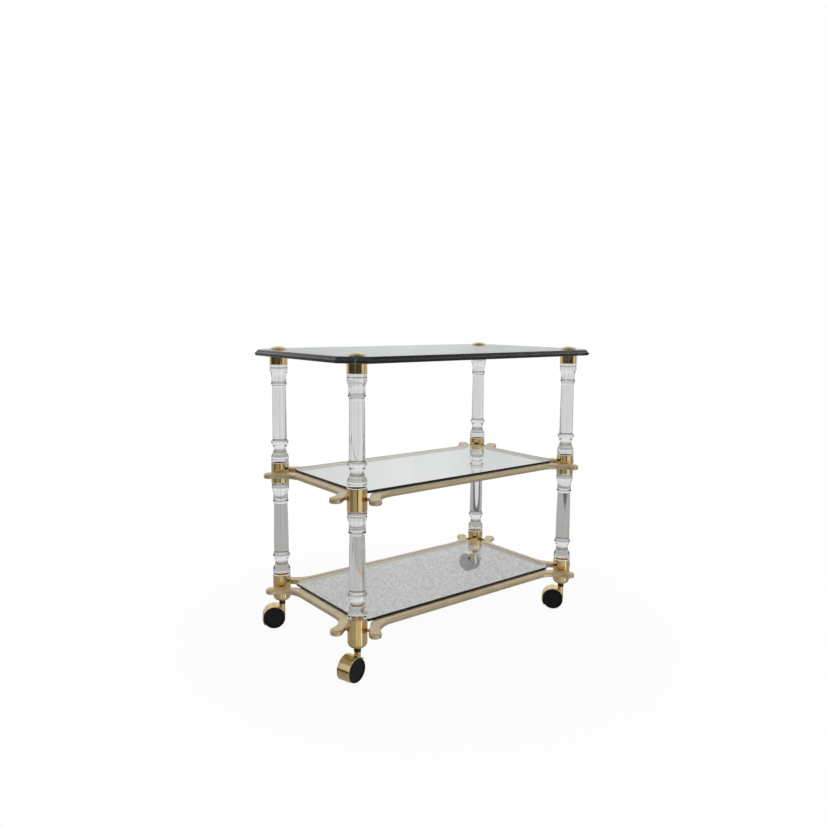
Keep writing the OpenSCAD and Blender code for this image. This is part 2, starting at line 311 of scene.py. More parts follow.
def stack(bm, layers, hole_centres=(), hole_r=0.0, hole_steps=48):
    """Closed solid through matching outlines, listed as (outline, z) from the bottom up."""
    loops = [[bm.verts.new((x, y, z)) for x, y in outline] for outline, z in layers]
    count = len(loops[0])
    for low, high in zip(loops, loops[1:]):
        for i in range(count):
            j = (i + 1) % count
            bm.faces.new((low[i], low[j], high[j], high[i]))
    hole_loops = []
    for cx, cy in hole_centres:
        pair = []
        for z in (layers[0][1], layers[-1][1]):
            pair.append([
                bm.verts.new((
                    cx + hole_r * math.cos(TURN * s / hole_steps),
                    cy + hole_r * math.sin(TURN * s / hole_steps),
                    z,
                ))
                for s in range(hole_steps)
            ])
        low, high = pair
        for s in range(hole_steps):
            t = (s + 1) % hole_steps
            bm.faces.new((low[t], low[s], high[s], high[t]))
        hole_loops.append(pair)
    for end, loop in ((0, loops[0]), (1, loops[-1])):
        if not hole_loops:
            bm.faces.new(loop)
            continue
        edges = []
        for ring in [loop, *[pair[end] for pair in hole_loops]]:
            for i, v in enumerate(ring):
                edges.append(bm.edges.get((v, ring[(i + 1) % len(ring)])))
        bmesh.ops.triangle_fill(bm, edges=edges, use_beauty=True)


def boolean(mesh, cutter, operation):
    """The first mesh cut by or joined with the second, which is then removed."""
    pair = [bpy.data.objects.new("work", m) for m in (mesh, cutter)]
    for o in pair:
        bpy.context.scene.collection.objects.link(o)
    tool = pair[0].modifiers.new("tool", "BOOLEAN")
    tool.operation = operation
    tool.solver = "EXACT"
    tool.object = pair[1]
    graph = bpy.context.evaluated_depsgraph_get()
    made = bpy.data.meshes.new_from_object(pair[0].evaluated_get(graph))
    for o in pair:
        bpy.data.objects.remove(o)
    made.shade_smooth()
    made.set_sharp_from_angle(angle=math.radians(32))
    return made


# ---- materials ---------------------------------------------------------------------
def new_material(name):
    material = bpy.data.materials.new(name)
    material.use_nodes = True
    tree = material.node_tree
    shader = tree.nodes["Principled BSDF"]
    return material, tree, shader


def noise(tree, scale, detail=3.0, stretch=(1, 1, 1)):
    """Noise in the piece's own coordinates, in metres."""
    coordinates = tree.nodes.new("ShaderNodeTexCoord")
    mapping = tree.nodes.new("ShaderNodeMapping")
    mapping.inputs["Scale"].default_value = stretch
    texture = tree.nodes.new("ShaderNodeTexNoise")
    texture.inputs["Scale"].default_value = scale
    texture.inputs["Detail"].default_value = detail
    tree.links.new(coordinates.outputs["Object"], mapping.inputs["Vector"])
    tree.links.new(mapping.outputs["Vector"], texture.inputs["Vector"])
    return texture.outputs["Fac"]


def ramp(tree, value, stops):
    """Colour ramp with stops (position, colour)."""
    node = tree.nodes.new("ShaderNodeValToRGB")
    elements = node.color_ramp.elements
    while len(elements) < len(stops):
        elements.new(0.5)
    for element, (position, colour) in zip(elements, stops):
        element.position = position
        element.color = (*colour, 1)
    tree.links.new(value, node.inputs["Fac"])
    return node.outputs["Color"]


def spread(tree, value, low, high):
    """Maps noise to a range of plain numbers."""
    node = tree.nodes.new("ShaderNodeMapRange")
    node.inputs["From Min"].default_value = 0.3
    node.inputs["From Max"].default_value = 0.7
    node.inputs["To Min"].default_value = low
    node.inputs["To Max"].default_value = high
    tree.links.new(value, node.inputs["Value"])
    return node.outputs["Result"]


def add_bump(tree, shader, value, strength, distance):
    node = tree.nodes.new("ShaderNodeBump")
    node.inputs["Strength"].default_value = strength
    node.inputs["Distance"].default_value = distance
    tree.links.new(value, node.inputs["Height"])
    tree.links.new(node.outputs["Normal"], shader.inputs["Normal"])


def metal(name, dark, mid, light, rough, grain, bump):
    """Lacquered or plain metal: cloudy colour, uneven polish and a fine grain."""
    material, tree, shader = new_material(name)
    shader.inputs["Metallic"].default_value = 1
    clouds = noise(tree, 26, 5)
    colour = ramp(tree, clouds, [(0.28, dark), (0.5, mid), (0.72, light)])
    tree.links.new(colour, shader.inputs["Base Color"])
    tree.links.new(spread(tree, noise(tree, 60, 4), *rough), shader.inputs["Roughness"])
    add_bump(tree, shader, noise(tree, grain, 2), bump, 0.00002)
    return material


def clear(name, tint, ior, absorb_colour, absorb_density, waves, wave_stretch, bump):
    """Clear solid: slightly wavy polished face, colour from its depth."""
    material, tree, shader = new_material(name)
    shader.inputs["Transmission Weight"].default_value = 1
    shader.inputs["IOR"].default_value = ior
    film = noise(tree, 14, 4)
    low = tuple(0.985 * c for c in tint)
    tree.links.new(ramp(tree, film, [(0.3, low), (0.7, tint)]), shader.inputs["Base Color"])
    tree.links.new(spread(tree, film, 0.0, 0.012), shader.inputs["Roughness"])
    add_bump(tree, shader, noise(tree, waves, 2, wave_stretch), bump, 0.00005)
    depth = tree.nodes.new("ShaderNodeVolumeAbsorption")
    depth.inputs["Color"].default_value = (*absorb_colour, 1)
    depth.inputs["Density"].default_value = absorb_density
    output = tree.nodes["Material Output"]
    tree.links.new(depth.outputs["Volume"], output.inputs["Volume"])
    return material


def moulded(name, dark, light, rough, grain, bump):
    """Plastic or coated metal with a fine moulded grain."""
    material, tree, shader = new_material(name)
    colour = ramp(tree, noise(tree, 45, 4), [(0.3, dark), (0.7, light)])
    tree.links.new(colour, shader.inputs["Base Color"])
    tree.links.new(spread(tree, noise(tree, 120, 3), *rough), shader.inputs["Roughness"])
    add_bump(tree, shader, noise(tree, grain, 2), bump, 0.00006)
    return material


M_BAR = metal("bar_brass_look", (0.60, 0.49, 0.31), (0.66, 0.54, 0.345), (0.72, 0.60, 0.39),
              (0.29, 0.37), 900, 0.1)
M_POLISHED = metal("polished_brass_look", (0.66, 0.48, 0.225), (0.765, 0.57, 0.28),
                   (0.84, 0.65, 0.34), (0.07, 0.13), 1500, 0.06)
# Pin brass, darker than the other brass: partly the pins' own tone, partly painted shade of the
# gaps between bar ends and collars
M_PIN_WITH_PAINTED_SHADE = metal("pin_brass_with_painted_shade_look", (0.34, 0.20, 0.08), (0.42, 0.27, 0.12), (0.50, 0.34, 0.16),
              (0.12, 0.2), 1500, 0.06)
M_TOP_GLASS = clear("top_glass_look", (0.985, 1.0, 0.995), 1.52, (0.05, 0.40, 0.46), 22.0,
                    9, (1, 1, 1), 0.02)
M_SHELF_GLASS = clear("shelf_glass_look", (0.99, 1.0, 0.995), 1.52, (0.10, 0.30, 0.28), 8.0,
                      9, (1, 1, 1), 0.02)
M_ACRYLIC = clear("acrylic_look", (1.0, 1.0, 1.0), 1.49, (0.6, 0.62, 0.62), 2.5,
                  70, (1, 1, 0.15), 0.1)
M_WASHER = clear("washer_look", (0.92, 0.95, 0.95), 1.46, (0.5, 0.55, 0.55), 8.0,
                 60, (1, 1, 1), 0.1)
M_WHEEL = moulded("wheel_look", (0.003, 0.003, 0.006), (0.006, 0.006, 0.011),
                  (0.42, 0.55), 1400, 0.12)
M_NECK = moulded("neck_look", (0.006, 0.006, 0.006), (0.015, 0.015, 0.015),
                 (0.14, 0.24), 900, 0.05)
M_SLEEVE = moulded("sleeve_look", (0.05, 0.05, 0.05), (0.08, 0.08, 0.08),
                   (0.4, 0.55), 900, 0.2)
M_STEEL = metal("steel_look", (0.42, 0.42, 0.42), (0.52, 0.52, 0.52), (0.6, 0.6, 0.6),
                (0.18, 0.3), 1200, 0.1)

# The wheels hardly mirror the room
M_WHEEL.node_tree.nodes["Principled BSDF"].inputs["Specular IOR Level"].default_value = 0.22


# ---- pieces ------------------------------------------------------------------------
def piece(name, mesh, material, body, nodes, place=None):
    """Puts a mesh in the row frame as a piece that stands for CAD nodes."""
    if place is not None:
        mesh.transform(place)
    mesh.materials.clear()
    mesh.materials.append(material)
    o = bpy.data.objects.new(name, mesh)
    bpy.context.scene.collection.objects.link(o)
    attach(o, body)
    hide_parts(*nodes)
    return o


def at_post(corner, z=0.0):
    sx, sy, _ = CORNERS[corner]
    return Matrix.Translation((sx * SPAN_X / 2 * MM, sy * SPAN_Y / 2 * MM, z * MM))


def at_caster(corner):
    return at_post(corner) @ Matrix.Rotation(math.radians(CORNERS[corner][2]), 4, "Z")


# Glass top, with its stepped and hollowed edge
TOP_EDGE = [
    (3.0, 0), (1.9, 0.7), (0.9, 1.8), (0.25, 3.0), (0, 4.2), (0, 6.6), (0.35, 7.5),
    (1.5, 8.0), (2.6, 8.7), (3.6, 9.9), (4.5, 11.2), (5.6, 12.6), (7.0, 13.7), (8.6, TOP_GLASS_T),
]
TOP_CORNER_R = 12
POST_PLACES = [(sx * SPAN_X / 2, sy * SPAN_Y / 2) for sx, sy, _ in CORNERS.values()]


def glass_top_mesh():
    half_x = SPAN_X / 2 + TOP_OVERHANG_X
    half_y = SPAN_Y / 2 + TOP_OVERHANG_Y
    layers = [
        (clipped_outline(half_x, half_y, TOP_CLIP, inset, TOP_CORNER_R), GLASS_Z + z)
        for inset, z in TOP_EDGE
    ]
    bm = bmesh.new()
    stack(bm, layers, POST_PLACES, GLASS_HOLE_R)
    return to_mesh(bm, "glass_top_mesh", 24)


piece("glass_top_plate", glass_top_mesh(), M_TOP_GLASS, "root", ["glass_top"])


def shelf_mesh(top_z):
    edge = 1.4
    low = top_z - LEDGE_DEPTH
    layers = []
    for inset, z in ((edge, AIR), (0, edge + AIR), (0, SHELF_T - edge), (edge, SHELF_T)):
        outline = clipped_outline(SHELF_HALF_X, SHELF_HALF_Y, SHELF_CLIP, inset, 3)
        layers.append((outline, low + z))
    bm = bmesh.new()
    stack(bm, layers)
    return to_mesh(bm, "shelf_mesh", 24)


for tier, top_z in BAR_TOPS.items():
    piece(f"{tier}_shelf_plate", shelf_mesh(top_z), M_SHELF_GLASS, "root",
          [f"{tier}_shelf_glass"])


def washer_profile(z):
    edge, bore = 0.2, STUD_R + 0.1
    low, high = z + AIR, z + WASHER_T - AIR
    return [
        (bore, low), (WASHER_R - edge, low), (WASHER_R, low + edge),
        (WASHER_R, high - edge), (WASHER_R - edge, high), (bore, high),
    ]


def washers_mesh():
    made = bmesh.new()
    for corner in CORNERS:
        for z in (TOP_COLLAR_TOP_Z, GLASS_TOP_Z):
            one = lathe("washer", washer_profile(z), ring=True)
            one.transform(at_post(corner))
            made.from_mesh(one)
            bpy.data.meshes.remove(one)
    mesh = bpy.data.meshes.new("washers_mesh")
    made.to_mesh(mesh)
    made.free()
    return mesh


piece("washers", washers_mesh(), M_WASHER, "root", ["glass_washers"])


# Posts, collars, cups and caps
def cap_profile():
    """Domed cap with the stud under it."""
    edge, stud_end_gap = 0.4, 1
    under = CAP_Z + AIR
    dome_h = CAP_H - CAP_RIM_H
    dome_r = (CAP_R**2 + dome_h**2) / (2 * dome_h)
    edge_deg = math.degrees(math.asin(CAP_R / dome_r))
    stud_z = TOP_COLLAR_TOP_Z - STUD_HOLE_DEPTH + stud_end_gap
    return [
        (0, stud_z), (STUD_R, stud_z), (STUD_R, under),
        (CAP_R - edge, under), (CAP_R, under + edge),
        *arc(0, CAP_Z + CAP_H - dome_r, dome_r, 90 - edge_deg, 90, 20),
    ]


def socket(z, direction):
    """Bore for a post's tenon, listed from its floor to its mouth at height z."""
    deep = z + direction * (TENON_H + RUN_GAP)
    return [(0, deep), (TENON_R + RUN_GAP, deep), (TENON_R + RUN_GAP, z)]


def top_collar_profile():
    low, high = TOP_COLLAR_Z, TOP_COLLAR_TOP_Z
    stud_bore = STUD_R + RUN_GAP
    floor_z = high - STUD_HOLE_DEPTH
    return [
        *socket(low, 1),
        *rounded(COLLAR_R, low, high, COLLAR_EDGE),
        (stud_bore, high), (stud_bore, floor_z), (0, floor_z),
    ]


def mid_collar_profile():
    low, high = MID_COLLAR_Z, MID_COLLAR_TOP_Z
    return [
        *socket(low, 1),
        *rounded(COLLAR_R, low, high, COLLAR_EDGE),
        *reversed(socket(high, -1)),
    ]


def foot_cup_profile():
    sleeve_bore, bore_top = SLEEVE_R + RUN_GAP, FOOT_Z + SLEEVE_H + RUN_GAP
    return [
        (0, bore_top), (sleeve_bore, bore_top), (sleeve_bore, FOOT_Z),
        *arc(COLLAR_R - FOOT_EDGE_R, FOOT_Z + FOOT_EDGE_R, FOOT_EDGE_R, -90, 0, 18),
        (COLLAR_R, FOOT_Z + FOOT_EDGE_R + FLAT_FROM),
        (COLLAR_R, FOOT_TOP_Z - COLLAR_EDGE - FLAT_FROM),
        *arc(COLLAR_R - COLLAR_EDGE, FOOT_TOP_Z - COLLAR_EDGE, COLLAR_EDGE, 0, 90, 6),
        *reversed(socket(FOOT_TOP_Z, -1)),
    ]


def shifted(profile, z):
    return [(r, height + z) for r, height in profile]


UPPER_POST = shifted(post_profile(UPPER_POST_H, 17, 18, 0), MID_COLLAR_TOP_Z)
LOWER_POST = shifted(post_profile(LOWER_POST_H, 16.8, 18.6, 0.6), FOOT_TOP_Z)
STACKED = {
    "cap": (cap_profile(), M_POLISHED, "polished_brass"),
    "top_collar": (top_collar_profile(), M_POLISHED, "polished_brass"),
    "upper_post": (UPPER_POST, M_ACRYLIC, "clear_acrylic"),
    "mid_collar": (mid_collar_profile(), M_POLISHED, "polished_brass"),
    "lower_post": (LOWER_POST, M_ACRYLIC, "clear_acrylic"),
    "foot_cup": (foot_cup_profile(), M_POLISHED, "polished_brass"),
}
for corner in CORNERS:
    for part, (profile, material, slot) in STACKED.items():
        mesh = lathe(f"{part}_mesh", profile)
        piece(f"{corner}_{part}", mesh, material, "root", [f"{part}_{corner}"],
              at_post(corner))


# Shelf bars
def bar_outline(half_span, inset, ear):
    """As in the CAD part: straight, turned outward near the posts, ending in rounded lobes.
    ear is the lobe's distance short of the post axis and outside the post line."""
    back, out = ear
    lobe = Vector((half_span - back, out))
    inner_y = -inset - BAR_W / 2
    outer_y = -inset + BAR_W / 2
    touch = lobe + EAR_LOBE_R * Vector((math.sin(EAR_TURN), -math.cos(EAR_TURN)))
    turn_end_y = inner_y + EAR_INNER_R * (1 - math.cos(EAR_TURN))
    turn_end_x = touch.x - (touch.y - turn_end_y) / math.tan(EAR_TURN)
    inner_x = turn_end_x - EAR_INNER_R * math.sin(EAR_TURN)
    reach = EAR_HOLLOW_R + EAR_LOBE_R
    rise = outer_y + EAR_HOLLOW_R - lobe.y
    hollow_x = lobe.x - math.sqrt(reach**2 - rise**2)
    hollow_from = math.degrees(math.asin(-rise / reach))
    steps = 26
    step = (hollow_from + 90) / (steps + 1)
    half = [
        *arc(inner_x, inner_y + EAR_INNER_R, EAR_INNER_R, -90, EAR_TURN_DEG - 90, 20),
        *arc(*lobe, EAR_LOBE_R, EAR_TURN_DEG - 90, 180 + hollow_from, 40),
        *arc(hollow_x, outer_y + EAR_HOLLOW_R, EAR_HOLLOW_R, hollow_from - step, -90, steps),
    ]
    return half + [(-x, y) for x, y in reversed(half)]


# Radius to which a bar's long edges are rounded
BAR_EDGE = 3.2


def bar_mesh(is_long):
    half_span, reach = (SPAN_X / 2, SPAN_Y / 2) if is_long else (SPAN_Y / 2, SPAN_X / 2)
    inset, ear = (LONG_INSET, LONG_EAR) if is_long else (SHORT_INSET, SHORT_EAR)
    outline = [(x, y + reach) for x, y in bar_outline(half_span, inset, ear)]
    layers = [(set_in(outline, BAR_EDGE + FLAT_FROM), 0)]
    steps = 6
    for i in range(steps + 1):
        a = TURN / 4 * i / steps
        margin, z = BAR_EDGE * (1 - math.sin(a)), BAR_EDGE * (1 - math.cos(a))
        layers.append((set_in(outline, margin), z))
    layers += [(points, BAR_H - z) for points, z in reversed(layers)]
    bm = bmesh.new()
    stack(bm, layers)
    bar = to_mesh(bm, "bar_mesh")
    half_x, half_y = SHELF_HALF_X, SHELF_HALF_Y
    if not is_long:
        half_x, half_y = half_y, half_x
    pocket = clipped_outline(half_x, half_y, SHELF_CLIP, -POCKET_GAP)
    bm = bmesh.new()
    stack(bm, [(pocket, BAR_H - LEDGE_DEPTH), (pocket, BAR_H + 1)])
    return boolean(bar, to_mesh(bm, "pocket_mesh"), "DIFFERENCE")


for tier, top_z in BAR_TOPS.items():
    for turns, side in enumerate(("back", "left", "front", "right")):
        place = Matrix.Translation((0, 0, (top_z - BAR_H) * MM)) @ Matrix.Rotation(
            turns * TURN / 4, 4, "Z"
        )
        piece(f"{tier}_{side}_rail", bar_mesh(turns % 2 == 0), M_BAR, "root",
              [f"{tier}_bar_{side}"], place)


# Pins between bars and collars or foot cups, each square to the inner face of a bar end
def pin_turns(sx, sy):
    long_side, short_side = math.cos(EAR_TURN), math.sin(EAR_TURN)
    return (math.atan2(sy * long_side, -sx * short_side),
            math.atan2(-sy * short_side, sx * long_side))


def pins_mesh():
    made = bmesh.new()
    sunk, edge = 1.5, 0.5
    low, high = COLLAR_R - sunk, PIN_TIP
    profile = [(0, low), (PIN_R, low), *arc(PIN_R - edge, high - edge, edge, 0, 90, 4), (0, high)]
    for corner, (sx, sy, _) in CORNERS.items():
        for top_z in BAR_TOPS.values():
            for angle in pin_turns(sx, sy):
                one = lathe("pin", profile)
                one.transform(
                    at_post(corner, top_z - BAR_H / 2)
                    @ Matrix.Rotation(angle, 4, "Z")
                    @ Matrix.Rotation(TURN / 4, 4, "Y")
                )
                made.from_mesh(one)
                bpy.data.meshes.remove(one)
    mesh = bpy.data.meshes.new("pins_mesh")
    made.to_mesh(mesh)
    made.free()
    return mesh


piece("pins", pins_mesh(), M_PIN_WITH_PAINTED_SHADE, "root", ["bar_pins"])


# Casters, in their own frame: swivel axis at the origin, wheels trailing to +X
def hood_mesh():
    """Curved shell over the treads, joined by a web to the boss under the neck."""
    inner, inner_edge, edge, steps = WHEEL_R + WELL_GAP, 0.3, 0.9, 44
    bulge = 0.27 * edge
    half = HOOD_W / 2
    section = [
        (inner, -half + inner_edge), (inner + inner_edge, -half), (HOOD_R - edge, -half),
        (HOOD_R - bulge, -half + bulge), (HOOD_R, -half + edge),
        (HOOD_R, -half + edge + FLAT_FROM), (HOOD_R, half - edge - FLAT_FROM),
        (HOOD_R, half - edge), (HOOD_R - bulge, half - bulge),
        (HOOD_R - edge, half), (inner + inner_edge, half), (inner, half - inner_edge),
    ]
    bm = bmesh.new()
    loops = []
    for i in range(steps + 1):
        a = HOOD_FROM + (HOOD_TO - HOOD_FROM) * i / steps
        loops.append([
            bm.verts.new((TRAIL + r * math.cos(a), y, WHEEL_R + r * math.sin(a)))
            for r, y in section
        ])
    count = len(section)
    for low, high in zip(loops, loops[1:]):
        for i in range(count):
            j = (i + 1) % count
            bm.faces.new((low[i], low[j], high[j], high[i]))
    bm.faces.new(loops[0])
    bm.faces.new(loops[-1])
    shell = to_mesh(bm, "hood_shell", 40)

    # The web's outline: from the boss round the axle, up to the shell and back
    web_x, web_top, shell_lap = -4.5, NECK_Z - 4, 1
    web = [
        (web_x, WHEEL_R),
        *arc(TRAIL, WHEEL_R, WEB_R, -120, 0, 24),
        *arc(TRAIL, WHEEL_R, HOOD_R - shell_lap, 12, 120, 24),
        (web_x, web_top),
    ]
    bm = bmesh.new()
    front = [bm.verts.new((x, -WEB_T / 2, z)) for x, z in web]
    back = [bm.verts.new((x, WEB_T / 2, z)) for x, z in web]
    for i in range(len(web)):
        j = (i + 1) % len(web)
        bm.faces.new((front[i], front[j], back[j], back[i]))
    bm.faces.new(front)
    bm.faces.new(back)
    whole = boolean(shell, to_mesh(bm, "hood_web"), "UNION")
    boss_edge = 0.8
    outside = rounded(BOSS_R, WHEEL_R, NECK_Z, boss_edge)
    boss = lathe("hood_boss", [(0, WHEEL_R), *outside, (0, NECK_Z)])
    return boolean(whole, boss, "UNION")


def wheel_mesh(out):
    """Wheel with a rounded tread and a dished outer face. out is the side it faces along Y."""
    tread, rim, rim_w, rim_edge = 3, 21, 1.4, 0.5
    face = WHEEL_W - 1.6
    hub_r, hub_edge = 6.4, 0.6
    profile = [
        (0, 0),
        *arc(WHEEL_R - tread, tread, tread, -90, 0, 8),
        *arc(WHEEL_R - tread, WHEEL_W - tread, tread, 0, 90, 8),
        (rim + rim_w, WHEEL_W),
        *arc(rim + rim_w, WHEEL_W - rim_edge, rim_edge, 90, 180, 3),
        (rim, face + 0.4), (rim - 0.6, face),
        (hub_r + hub_edge, face), (hub_r, face + 0.5), (0, face + 0.8),
    ]
    mesh = lathe("wheel_mesh", profile)
    mesh.transform(
        Matrix.Translation((TRAIL * MM, out * (WEB_T / 2 + FACE_GAP) * MM, WHEEL_R * MM))
        @ Matrix.Rotation(-out * TURN / 4, 4, "X")
    )
    return mesh


def stem_mesh():
    """Black neck ring with a groove, the spigot under it and the stem above it."""
    top, edge = NECK_Z + NECK_H, 0.8
    spigot_r, spigot_z = 2.35, NECK_Z - 18
    groove_r, groove_z, groove_half, groove_edge = NECK_R - 0.9, NECK_Z + 6, 0.3, 0.5
    groove_reach = groove_half + groove_edge
    stem_r, stem_top, stem_edge = 4, 110, 0.5
    profile = [
        (0, spigot_z), (spigot_r, spigot_z), (spigot_r, NECK_Z + AIR),
        *arc(NECK_R - edge, NECK_Z + AIR + edge, edge, -90, 0, 5),
        (NECK_R, groove_z - groove_reach), (groove_r, groove_z - groove_half),
        (groove_r, groove_z + groove_half), (NECK_R, groove_z + groove_reach),
        *arc(NECK_R - edge, top - edge, edge, 0, 90, 5),
        (stem_r, top), (stem_r, stem_top - stem_edge), (stem_r - stem_edge, stem_top),
        (0, stem_top),
    ]
    return lathe("stem_mesh", profile)


for corner in CORNERS:
    body = f"caster_{corner}"
    place = at_caster(corner)
    piece(f"{corner}_hood", hood_mesh(), M_POLISHED, body,
          [f"hood_{corner}"], place)
    piece(f"{corner}_stem", stem_mesh(), M_NECK, body, [f"stem_{corner}"], place)
    for side, out in (("left", -1), ("right", 1)):
        piece(f"{corner}_{side}_wheel", wheel_mesh(out), M_WHEEL, f"{side}_wheel_{corner}",
              [f"{side}_wheel_{corner}"], place)

# CAD nodes that stay: the axles and the sockets' sleeves
for name, material in [("caster_sockets", M_SLEEVE), *[(f"axle_{c}", M_STEEL) for c in CORNERS]]:
    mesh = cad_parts[name].data
    mesh.materials.clear()
    mesh.materials.append(material)


# ---- studio ------------------------------------------------------------------------
def light_path(tree, output):
    return tree.nodes.new("ShaderNodeLightPath").outputs[output]


def floor():
    """Pale floor to the eye, holding only a faint shadow that fades towards its edge. Glass and
    brass see through it to the carpet of the room."""
    radius, segments = 1.1, 64
    shadow_share, fade_from, fade_to = 0.05, 0.5, 1.0
    bm = bmesh.new()
    bmesh.ops.create_circle(bm, cap_ends=True, radius=radius, segments=segments)
    mesh = bpy.data.meshes.new("floor_mesh")
    bm.to_mesh(mesh)
    bm.free()
    o = bpy.data.objects.new("floor", mesh)
    bpy.context.scene.collection.objects.link(o)
    material, tree, shader = new_material("floor_look")
    tree.nodes.remove(shader)
    output = tree.nodes["Material Output"]
    pale = tree.nodes.new("ShaderNodeBsdfDiffuse")
    pale.inputs["Color"].default_value = (0.93, 0.93, 0.93, 1)
    white = tree.nodes.new("ShaderNodeEmission")
    unseen = tree.nodes.new("ShaderNodeBsdfTransparent")
    coordinates = tree.nodes.new("ShaderNodeTexCoord")
    length = tree.nodes.new("ShaderNodeVectorMath")
    length.operation = "LENGTH"
    tree.links.new(coordinates.outputs["Object"], length.inputs[0])
    fade = tree.nodes.new("ShaderNodeMapRange")
    fade.interpolation_type = "SMOOTHSTEP"
    fade.inputs["From Min"].default_value = fade_from
    fade.inputs["From Max"].default_value = fade_to
    fade.inputs["To Min"].default_value = 1 - shadow_share
    fade.inputs["To Max"].default_value = 1.0
    tree.links.new(length.outputs["Value"], fade.inputs["Value"])
    seen = tree.nodes.new("ShaderNodeMixShader")
    tree.links.new(fade.outputs["Result"], seen.inputs["Fac"])
    tree.links.new(pale.outputs["BSDF"], seen.inputs[1])
    tree.links.new(white.outputs["Emission"], seen.inputs[2])
    both = tree.nodes.new("ShaderNodeMixShader")
    tree.links.new(light_path(tree, "Is Camera Ray"), both.inputs["Fac"])
    tree.links.new(unseen.outputs["BSDF"], both.inputs[1])
    tree.links.new(seen.outputs["Shader"], both.inputs[2])
    tree.links.new(both.outputs["Shader"], output.inputs["Surface"])
    mesh.materials.append(material)


# The photographed view
EYE = (-1.2195, -1.5013, 0.804)
YAW = math.radians(37.99)
PITCH = math.radians(7.43)
ROLL = math.radians(0.454)
LENS_MM = 32.40
SENSOR_MM = 36

# What brass and glass pick up from the viewer's side of the room, as (bearing, brightness), in
# three bands: level, a little below it and well below it. Bearings are degrees to the viewer's
# right, from a line towards the viewer.
STRIPES_LEVEL = [
    (-180, 0.5), (-104, 0.5), (-88, 0.045), (-20, 0.045), (-14, 0.16), (-9, 0.16), (-5, 0.045),
    (54, 0.045), (62, 0.75), (84, 0.75), (94, 0.45), (180, 0.5),
]
STRIPES_MIDDLE = [
    (-180, 0.5), (-92, 0.5), (-76, 0.2), (-48, 0.2), (-36, 0.40), (0, 0.42), (4, 0.06),
    (13, 0.06), (20, 0.9), (57, 0.9), (70, 0.3), (108, 0.3), (120, 0.5), (180, 0.5),
]
STRIPES_LOW = [
    (-180, 0.5), (-90, 0.34), (-10, 0.46), (-3, 0.9), (4, 0.9), (9, 0.34), (15, 0.34), (21, 0.85),
    (28, 0.85), (34, 0.42), (40, 0.42), (45, 1.3), (53, 1.3), (64, 0.42), (90, 0.38), (180, 0.5),
]

# Where one part of the viewer's side gives way to the next: a span of bearings, then of heights
SIDE_SPAN = (104, 92)
WALL_SPAN = (-2, 1)
EYE_LEVEL_SPAN = (1, -1.5)
LEVEL_SPAN = (-10.5, -8.5)
MIDDLE_SPAN = (-18, -15)
CARPET_SPAN = (-50, -38)


